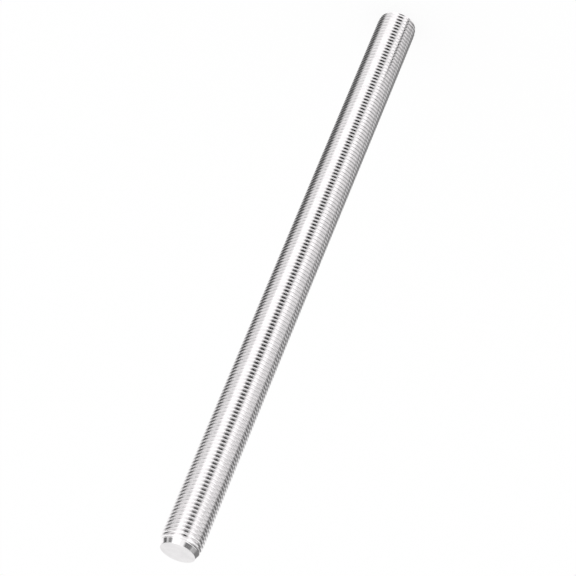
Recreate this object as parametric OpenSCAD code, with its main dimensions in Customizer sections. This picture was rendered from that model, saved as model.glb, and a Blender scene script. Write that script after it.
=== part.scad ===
// Fully threaded steel rod: a stud with a fine unified thread along its whole
// length and a chamfer turned on each end. It stands on its lower end face,
// with the thread's axis on Z. Sizes are in millimetres.

/* [Rod] */
// Length over the two end faces (8 in)
rod_length = 203.2; // [40:0.1:400]
// Diameter over the thread's crests (1/2 in)
major_d = 12.7; // [8:0.1:25.4]

/* [Thread] */
// Distance along the rod from one crest to the next (20 to the inch)
pitch = 1.27; // [0.8:0.01:2]
// Angle between the two flanks of a groove
thread_angle = 60; // [55:1:60]

/* [Ends] */
// Depth of the chamfer, measured in from the crests
chamfer_depth = 1.06; // [0.8:0.01:3]
// Angle between the chamfer and the rod's axis
chamfer_angle = 30; // [20:1:60]

/* [Hidden] */
$fn = 96;

major_r = major_d / 2;

// The unified thread form, all of it in proportion to the pitch. The sharp V
// loses an eighth of its height at the crest, and a round root fills its foot.
sharp_height = pitch / 2 / tan(thread_angle / 2);
crest_cut = sharp_height / 8;
root_r = sharp_height / 6;
root_fill = root_r / sin(thread_angle / 2) - root_r;
thread_depth = sharp_height - crest_cut - root_fill;

// Chamfer length along the rod, and the end face that it leaves
chamfer_length = chamfer_depth / tan(chamfer_angle);
end_face_r = major_r - chamfer_depth;

// As many grooves as fit, spread evenly about the middle of the rod,
// so that the thread runs out through both chamfers in the same way.
groove_count = floor(rod_length / pitch);
first_groove_z = (rod_length - (groove_count - 1) * pitch) / 2;

// Half section of the blank: a bar with both ends chamfered
module blank_outline() {
    polygon([
        [0, 0],
        [end_face_r, 0],
        [major_r, chamfer_length],
        [major_r, rod_length - chamfer_length],
        [end_face_r, rod_length],
        [0, rod_length]
    ]);
}

// Section of one thread groove, with its mouth at X = 0. The flanks run into
// the round root, and go on past the mouth, clear of the blank.
module groove_outline() {
    overshoot = pitch / 4;
    flank_slope = tan(thread_angle / 2);
    root_centre = root_r - thread_depth;
    tangent_x = root_centre - root_r * sin(thread_angle / 2);
    tangent_z = root_r * cos(thread_angle / 2);
    mouth_z = tangent_z + (overshoot - tangent_x) * flank_slope;
    polygon([
        [tangent_x, -tangent_z],
        [overshoot, -mouth_z],
        [overshoot, mouth_z],
        [tangent_x, tangent_z]
    ]);
    translate([root_centre, 0])
        circle(root_r);
}

// Half section of the rod: the chamfered blank with the thread in it
module rod_outline() {
    difference() {
        blank_outline();
        for (i = [0 : groove_count - 1])
            translate([major_r, first_groove_z + i * pitch])
                groove_outline();
    }
}

// The rod in one piece. Its section is the real thread's on every side, but
// the grooves are closed rings one pitch apart, in place of the one groove
// that climbs a pitch a turn, right-handed, on the real rod.
module threaded_rod() {
    color([0.78, 0.78, 0.79])
        rotate_extrude()
            rod_outline();
}

threaded_rod();
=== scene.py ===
from math import asin, atan2, cos, degrees, pi, radians, sin, tan

import bpy
from mathutils import Matrix, Vector


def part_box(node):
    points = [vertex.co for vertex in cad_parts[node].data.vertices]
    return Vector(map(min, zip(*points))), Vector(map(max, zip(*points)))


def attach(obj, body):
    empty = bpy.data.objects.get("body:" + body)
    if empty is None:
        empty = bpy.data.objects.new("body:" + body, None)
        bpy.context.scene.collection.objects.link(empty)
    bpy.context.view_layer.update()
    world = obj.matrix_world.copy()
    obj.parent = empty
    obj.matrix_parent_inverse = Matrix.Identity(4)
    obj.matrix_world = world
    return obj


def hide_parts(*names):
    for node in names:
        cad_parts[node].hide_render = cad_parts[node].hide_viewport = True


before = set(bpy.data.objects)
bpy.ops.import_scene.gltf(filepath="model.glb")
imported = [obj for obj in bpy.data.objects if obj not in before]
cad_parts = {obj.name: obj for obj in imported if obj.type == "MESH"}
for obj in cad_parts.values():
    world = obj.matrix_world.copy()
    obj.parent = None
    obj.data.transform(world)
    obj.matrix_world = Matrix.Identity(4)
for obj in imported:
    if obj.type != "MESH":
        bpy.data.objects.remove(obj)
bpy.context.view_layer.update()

rod_low, rod_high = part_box("threaded_rod")
rod_length = rod_high.z - rod_low.z
crest_radius = (rod_high.x - rod_low.x) / 2


# ---------------------------------------------------------------- Camera
# A long portrait lens looks down on the rod's upper end, and is rolled so
# that this end comes low in the frame and the foot of the rod high up.

lens_mm = 147.3
look_down = radians(31)
roll = radians(180 + 22.65)
aim_height = 0.109
aim_distance = 0.7117

bpy.ops.object.select_all(action="DESELECT")
to_camera = Vector((0, -cos(look_down), sin(look_down)))
aim = Vector((0, 0, aim_height))
bpy.ops.object.camera_add(location=aim + aim_distance * to_camera)
camera = bpy.context.object
camera.name = "camera"
camera.data.lens = lens_mm
camera.data.sensor_width = 36
camera.data.clip_start = 0.01
level = to_camera.to_track_quat("Z", "Y").to_matrix()
camera.rotation_euler = (level @ Matrix.Rotation(roll, 3, "Z")).to_euler()
bpy.context.scene.camera = camera
bpy.context.scene.view_settings.view_transform = "Standard"


# ---------------------------------------------------------------- Threaded rod
# One bar of stainless steel. Both ends are faced and chamfered, and dies then
# press a right-hand thread into its whole length. The first turns at the upper
# end come up to full size over about three pitches, past a smooth band.

pitch = 0.00127
flank_angle = radians(30)
sharp_height = pitch / 2 / tan(flank_angle)
root_radius = sharp_height / 6
groove_depth = sharp_height * 17 / 24
crest_flat = pitch / 8
crest_round = 0.00004
root_steps = 4
steps_per_turn = 64
spare_turns = 2
merge_distance = 1e-7
# Outlines of the ends: a distance in from the end face, and the radius there
# as a share of the crests' radius.
foot_chamfer = [(0.0, 0.87), (0.0009, 0.95), (0.002, 0.98), (0.0035, 1.004)]
top_chamfer = [(0.0, 0.835), (0.0014, 0.935), (0.0028, 0.97), (0.0045, 1.004)]
top_band = [(-0.0005, 1.0), (0.0013, 0.95), (0.0034, 0.86)]
edge_round = 0.0001
edge_steps = 3
blank_sides = 180
smooth_below = radians(12)


def thread_profile():
    """Half section of one pitch, from crest to crest, as points of radius and height."""
    corner = Vector((crest_radius, crest_flat / 2))
    flank = Vector((-cos(flank_angle), sin(flank_angle)))
    root_centre = Vector((crest_radius - groove_depth + root_radius, pitch / 2))
    climb = [corner - Vector((0, crest_round)), corner + flank * crest_round]
    points = [Vector((p.x, -p.y)) for p in climb[:1]] + climb
    for step in range(root_steps + 1):
        turn = (pi / 2 - flank_angle) * (2 * step / root_steps - 1)
        points.append(root_centre + root_radius * Vector((-cos(turn), sin(turn))))
    points += [Vector((p.x, pitch - p.y)) for p in reversed(climb)]
    return points


def select_end_face(obj, height):
    """Selects only the flat end face of obj at a height, in object mode."""
    bpy.ops.object.mode_set(mode="EDIT")
    bpy.ops.mesh.select_mode(type="FACE")
    bpy.ops.mesh.select_all(action="DESELECT")
    bpy.ops.object.mode_set(mode="OBJECT")
    for face in obj.data.polygons:
        face.select = abs(face.center.z - height) < edge_round / 10


def turned_bar(name, outline):
    """A solid of revolution about Z, from points of height and radius, lowest first."""
    height, radius = outline[0]
    bpy.ops.mesh.primitive_circle_add(
        vertices=blank_sides,
        radius=radius,
        fill_type="NGON",
        location=(0, 0, height),
    )
    bar = bpy.context.object
    bar.name = name
    bpy.ops.object.transform_apply(location=True, rotation=True, scale=True)
    bpy.ops.object.mode_set(mode="EDIT")
    bpy.ops.mesh.select_all(action="SELECT")
    for next_height, next_radius in outline[1:]:
        rise = next_height - height
        size = next_radius / radius
        bpy.ops.mesh.extrude_region_move(TRANSFORM_OT_translate={"value": (0, 0, rise)})
        bpy.ops.transform.resize(value=(size, size, 1))
        height, radius = next_height, next_radius
    bpy.ops.mesh.select_all(action="SELECT")
    bpy.ops.mesh.normals_make_consistent(inside=False)
    bpy.ops.object.mode_set(mode="OBJECT")
    return bar


def from_foot(sizes):
    """Heights above the rod's foot, with each share of the crests' radius as a radius."""
    return [(height, share * crest_radius) for height, share in sizes]


def from_top(sizes):
    """The same outline turned over, below the rod's upper end face."""
    return [(rod_length - height, radius) for height, radius in reversed(from_foot(sizes))]


def combine(obj, other, operation):
    """Joins the other solid to obj, or keeps what they share, and removes the other."""
    bpy.ops.object.select_all(action="DESELECT")
    bpy.context.view_layer.objects.active = obj
    obj.select_set(True)
    cut = obj.modifiers.new("cut", "BOOLEAN")
    cut.operation = operation
    cut.solver = "MANIFOLD"
    cut.object = other
    bpy.ops.object.modifier_apply(modifier="cut")
    bpy.data.objects.remove(other)


bpy.ops.object.select_all(action="DESELECT")
turns = round(rod_length / pitch) + 2 * spare_turns
start_height = -(spare_turns + 0.5) * pitch
bpy.ops.mesh.primitive_plane_add(size=pitch, location=(crest_radius, 0, start_height))
rod = bpy.context.object
rod.name = "threaded_rod_rolled"
bpy.ops.object.transform_apply(location=True, rotation=True, scale=True)
bpy.ops.object.mode_set(mode="EDIT")
bpy.ops.mesh.select_all(action="SELECT")
bpy.ops.mesh.merge(type="CENTER")
profile = thread_profile()
for here, there in zip(profile, profile[1:]):
    step = there - here
    bpy.ops.mesh.extrude_vertices_move(TRANSFORM_OT_translate={"value": (step.x, 0, step.y)})
bpy.ops.object.mode_set(mode="OBJECT")

screw = rod.modifiers.new("thread", "SCREW")
screw.axis = "Z"
screw.angle = 2 * pi
screw.screw_offset = pitch
screw.iterations = turns
screw.steps = steps_per_turn
screw.render_steps = steps_per_turn
screw.use_merge_vertices = False
bpy.ops.object.modifier_apply(modifier="thread")

bpy.ops.object.mode_set(mode="EDIT")
bpy.ops.mesh.select_all(action="SELECT")
bpy.ops.mesh.remove_doubles(threshold=merge_distance)
for end, keep_above in ((-pitch / 4, True), (rod_length + pitch / 4, False)):
    bpy.ops.mesh.select_all(action="SELECT")
    bpy.ops.mesh.bisect(
        plane_co=(0, 0, end),
        plane_no=(0, 0, 1),
        use_fill=True,
        threshold=merge_distance,
        clear_inner=keep_above,
        clear_outer=not keep_above,
    )
bpy.ops.mesh.select_all(action="SELECT")
bpy.ops.mesh.normals_make_consistent(inside=False)
bpy.ops.object.mode_set(mode="OBJECT")

combine(rod, turned_bar("top_band", from_top(top_band)), "UNION")
blank = turned_bar("chamfered_blank", from_foot(foot_chamfer) + from_top(top_chamfer))
for end in (0, rod_length):
    select_end_face(blank, end)
    bpy.ops.object.mode_set(mode="EDIT")
    bpy.ops.mesh.bevel(
        offset=edge_round,
        offset_type="OFFSET",
        segments=edge_steps,
        affect="EDGES",
    )
    bpy.ops.object.mode_set(mode="OBJECT")
combine(rod, blank, "INTERSECT")

bpy.ops.object.shade_smooth_by_angle(angle=smooth_below)

# The steel has fine turning rings, and faint patches in its tone and polish.
ring_spacing = 0.0003
mark_depth = 0.0000005
patch_scale = 500
patch_detail = 3
dull_tone = (0.755, 0.743, 0.748, 1)
bright_tone = (0.82, 0.806, 0.811, 1)
best_polish = 0.1
worst_polish = 0.16
steel = bpy.data.materials.new("stainless_steel")
steel.use_nodes = True
nodes = steel.node_tree.nodes
links = steel.node_tree.links
shader = nodes["Principled BSDF"]
shader.inputs["Metallic"].default_value = 1
place = nodes.new("ShaderNodeTexCoord")
rings = nodes.new("ShaderNodeTexWave")
rings.wave_type = "RINGS"
rings.rings_direction = "Z"
rings.inputs["Scale"].default_value = 2 * pi / 20 / ring_spacing
links.new(place.outputs["Object"], rings.inputs["Vector"])
marks = nodes.new("ShaderNodeBump")
marks.inputs["Strength"].default_value = 1
marks.inputs["Distance"].default_value = mark_depth
links.new(rings.outputs["Fac"], marks.inputs["Height"])
links.new(marks.outputs["Normal"], shader.inputs["Normal"])
patches = nodes.new("ShaderNodeTexNoise")
patches.inputs["Scale"].default_value = patch_scale
patches.inputs["Detail"].default_value = patch_detail
links.new(place.outputs["Object"], patches.inputs["Vector"])
tones = nodes.new("ShaderNodeValToRGB")
tones.color_ramp.elements[0].position = 0.3
tones.color_ramp.elements[0].color = dull_tone
tones.color_ramp.elements[1].position = 0.7
tones.color_ramp.elements[1].color = bright_tone
links.new(patches.outputs["Fac"], tones.inputs["Fac"])
links.new(tones.outputs["Color"], shader.inputs["Base Color"])
polish = nodes.new("ShaderNodeMapRange")
polish.inputs["To Min"].default_value = best_polish
polish.inputs["To Max"].default_value = worst_polish
links.new(patches.outputs["Fac"], polish.inputs["Value"])
links.new(polish.outputs["Result"], shader.inputs["Roughness"])
rod.data.materials.clear()
rod.data.materials.append(steel)

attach(rod, "root")
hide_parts("threaded_rod")


# ---------------------------------------------------------------- Floor
# A sheet of white paper that the rod stands on, with a white room round it.
# The paper keeps the rod's soft shadow. The metal mirrors the tent instead.

paper_size = 12
paper_white = 0.9
paper_rough = 0.9
paper_glow = 0.85
room_light = 1.1


def seen_or_mirrored(tree):
    """A socket that is 1 on rays from the lens, and on rays from metal or glass."""
    path = tree.nodes.new("ShaderNodeLightPath")
    first = tree.nodes.new("ShaderNodeMath")
    first.operation = "MAXIMUM"
    tree.links.new(path.outputs["Is Camera Ray"], first.inputs[0])
    tree.links.new(path.outputs["Is Glossy Ray"], first.inputs[1])
    both = tree.nodes.new("ShaderNodeMath")
    both.operation = "MAXIMUM"
    tree.links.new(first.outputs[0], both.inputs[0])
    tree.links.new(path.outputs["Is Transmission Ray"], both.inputs[1])
    return both.outputs[0]


bpy.ops.object.select_all(action="DESELECT")
bpy.ops.mesh.primitive_plane_add(size=paper_size, location=(0, 0, 0))
floor = bpy.context.object
floor.name = "floor"
paper = bpy.data.materials.new("white_paper")
paper.use_nodes = True
nodes = paper.node_tree.nodes
links = paper.node_tree.links
nodes["Principled BSDF"].inputs["Base Color"].default_value = (paper_white,) * 3 + (1,)
nodes["Principled BSDF"].inputs["Roughness"].default_value = paper_rough
nodes["Principled BSDF"].inputs["Specular IOR Level"].default_value = 0
glow = nodes.new("ShaderNodeEmission")
glow.inputs["Strength"].default_value = 1
share = nodes.new("ShaderNodeMath")
share.operation = "MULTIPLY"
share.inputs[1].default_value = paper_glow
blend = nodes.new("ShaderNodeMixShader")
links.new(seen_or_mirrored(paper.node_tree), share.inputs[0])
links.new(share.outputs[0], blend.inputs["Fac"])
links.new(nodes["Principled BSDF"].outputs[0], blend.inputs[1])
links.new(glow.outputs[0], blend.inputs[2])
links.new(blend.outputs[0], nodes["Material Output"].inputs["Surface"])
floor.data.materials.append(paper)
floor.visible_glossy = False

world = bpy.data.worlds.new("studio")
bpy.context.scene.world = world
world.use_nodes = True
nodes = world.node_tree.nodes
links = world.node_tree.links
room = nodes["Background"]
room.inputs["Color"].default_value = (1, 1, 1, 1)
room.inputs["Strength"].default_value = room_light
white = nodes.new("ShaderNodeBackground")
white.inputs["Color"].default_value = (1, 1, 1, 1)
white.inputs["Strength"].default_value = 1
blend = nodes.new("ShaderNodeMixShader")
links.new(seen_or_mirrored(world.node_tree), blend.inputs["Fac"])
links.new(room.outputs[0], blend.inputs[1])
links.new(white.outputs[0], blend.inputs[2])
links.new(blend.outputs[0], nodes["World Output"].inputs["Surface"])


# ---------------------------------------------------------------- Light tent
# A round tent of white cloth about the rod, lit evenly from outside. Soft boxes
# and cards of black and grey paper hang in it, and the polished steel mirrors
# them as the bright and dark bands that run along the thread.

tent_radius = 3
tent_sides = 120
tent_white = 1.2
card_edge = 12
# Each card's turn round the rod and its height, its width and how tall it is,
# all in degrees as seen from the rod, and how much light it gives. A later card
# hangs in front of an earlier one.
hung_cards = {
    "left_soft_box": (-36, -7, 48, 70, 1.7),
    "right_soft_box": (36, -18, 26, 50, 1.7),
    "under_lens": (-1, -26, 34, 28, 0.0),
    "lens_shade": (-26, -40, 24, 16, 0.9),
    "foot_left": (-100, -42, 90, 20, 0.4),
    "foot_right": (95, -45, 110, 22, 0.1),
    "edge_right_low": (122, -24, 52, 28, 0.2),
    "side_left": (-128, 36, 34, 44, 0.1),
    "level_left": (-102, 12, 26, 28, 0.15),
    "level_left_near": (-69, 14, 26, 26, 0.3),
    "side_right": (44, 26, 52, 24, 0.22),
    "far_right": (95, 16, 50, 44, 0.5),
    "edge_right": (125, 5, 50, 60, 0.25),
    "high_right": (112, 56, 70, 32, 0.45),
    "behind": (180, 14, 40, 40, 1.0),
}


def card_cover(off_centre, size):
    """1 on the card, 0 clear of it, and a soft change across its edge."""
    inside = (size / 2 + card_edge / 2 - abs(off_centre)) / card_edge
    return max(0, min(1, inside))


bpy.ops.mesh.primitive_uv_sphere_add(
    segments=tent_sides,
    ring_count=tent_sides // 2,
    radius=tent_radius,
    location=(0, 0, rod_length / 2),
)
tent = bpy.context.object
tent.name = "light_tent"
glow_at = tent.data.color_attributes.new(name="panel_glow", type="FLOAT_COLOR", domain="POINT")
for vertex, glow in zip(tent.data.vertices, glow_at.data):
    turn = degrees(atan2(-vertex.co.x, -vertex.co.y))
    height = degrees(asin(max(-1, min(1, vertex.co.z / tent_radius))))
    level = tent_white
    for card_turn, card_height, wide, tall, card_level in hung_cards.values():
        across = (turn - card_turn + 180) % 360 - 180
        cover = card_cover(across, wide) * card_cover(height - card_height, tall)
        level += (card_level - level) * cover
    glow.color = (level, level, level, 1)
cloth = bpy.data.materials.new("lit_cloth")
cloth.use_nodes = True
nodes = cloth.node_tree.nodes
links = cloth.node_tree.links
nodes.remove(nodes["Principled BSDF"])
panels = nodes.new("ShaderNodeAttribute")
panels.attribute_name = "panel_glow"
lamp = nodes.new("ShaderNodeEmission")
links.new(panels.outputs["Color"], lamp.inputs["Color"])
links.new(lamp.outputs[0], nodes["Material Output"].inputs["Surface"])
cloth.cycles.emission_sampling = "NONE"
tent.data.materials.append(cloth)
tent.visible_camera = False
tent.visible_diffuse = False
tent.visible_shadow = False


# ---------------------------------------------------------------- Foot card
# A narrow strip of black card that hangs upright out from the rod's foot, with
# its upper edge level with the paper. The steel mirrors it as a row of dark
# dots that fades out up the rod.

strip_turn = 51
strip_distance = 0.08
strip_width = 0.015
strip_foot = -0.06
strip_top = 0.0
strip_black = 0.05
strip_rough = 0.9
strip_way = Vector((-sin(radians(strip_turn)), -cos(radians(strip_turn)), 0))

bpy.ops.object.select_all(action="DESELECT")
bpy.ops.mesh.primitive_plane_add(
    size=1,
    location=strip_distance * strip_way + Vector((0, 0, (strip_foot + strip_top) / 2)),
    rotation=(radians(90), 0, radians(-strip_turn)),
)
strip = bpy.context.object
strip.name = "foot_card"
strip.scale = (strip_width, strip_top - strip_foot, 1)
card = bpy.data.materials.new("black_card")
card.use_nodes = True
shader = card.node_tree.nodes["Principled BSDF"]
shader.inputs["Base Color"].default_value = (strip_black,) * 3 + (1,)
shader.inputs["Roughness"].default_value = strip_rough
strip.data.materials.append(card)
strip.visible_camera = False
strip.visible_diffuse = False
strip.visible_shadow = False
